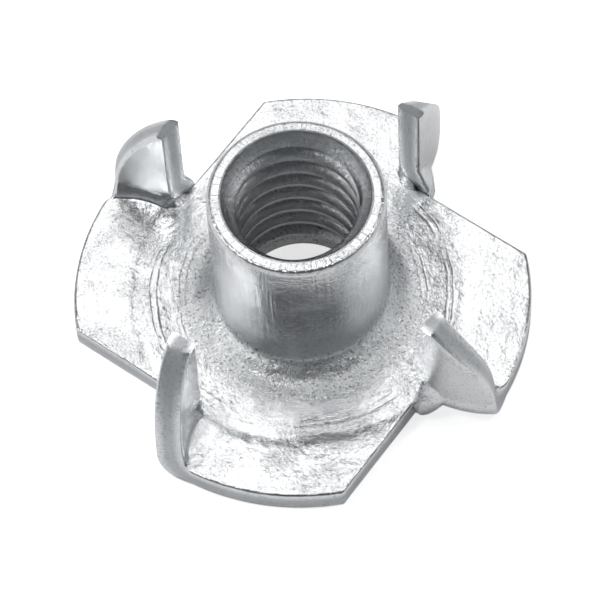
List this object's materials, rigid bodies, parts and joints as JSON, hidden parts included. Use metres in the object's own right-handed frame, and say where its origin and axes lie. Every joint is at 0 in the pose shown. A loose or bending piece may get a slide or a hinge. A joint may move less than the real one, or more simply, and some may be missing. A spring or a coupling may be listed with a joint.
{
  "type": "prong tee nut",
  "caption": "Stamped and drawn steel tee nut with an internally threaded barrel on a lobed flange whose sheared, folded-up prongs bite into wood.",
  "frame": {"origin": "on the barrel axis, in the plane of the flange's flat underside", "axes": "+Z along the barrel axis, from the flange underside towards the mouth of the barrel and the prong tips; +X and +Y are two square directions in the flange plane, with the prong roots close to the diagonals"},
  "size_m": [0.019, 0.019, 0.0088],
  "materials": {
    "zinc_plated_steel": "bright zinc plate, lightly scuffed"
  },
  "bodies": {
    "root": {"tee_nut": "zinc_plated_steel"}
  },
  "joints": []
}
